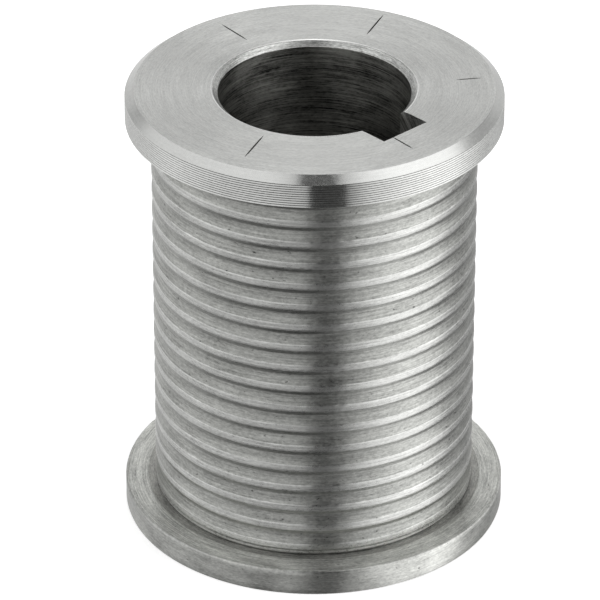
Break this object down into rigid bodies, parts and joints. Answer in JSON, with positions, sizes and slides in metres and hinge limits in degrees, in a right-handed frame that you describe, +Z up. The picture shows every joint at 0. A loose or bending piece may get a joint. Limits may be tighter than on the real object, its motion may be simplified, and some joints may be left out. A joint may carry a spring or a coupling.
{
  "type": "rigid sleeve coupling",
  "caption": "Flanged steel sleeve with a keyed through bore, a barrel ringed by shallow parallel grooves, a chamfered upper flange and a plain lower flange.",
  "frame": {"origin": "centre of the base face, where the bore's axis meets the lower flange's underside", "axes": "+Z up the bore's axis towards the chamfered flange, +X towards the middle of the keyway"},
  "size_m": [0.0808, 0.0808, 0.0986],
  "materials": {
    "sleeve_steel": "turned, semi-bright, with fine circumferential tool marks",
    "lower_flange_steel": "rough turned and dull, with faint blotches",
    "upper_flange_steel": "faced and fine turned, semi-bright"
  },
  "bodies": {
    "root": {"grooved_sleeve": "sleeve_steel", "lower_flange": "lower_flange_steel", "upper_flange": "upper_flange_steel"}
  },
  "joints": []
}
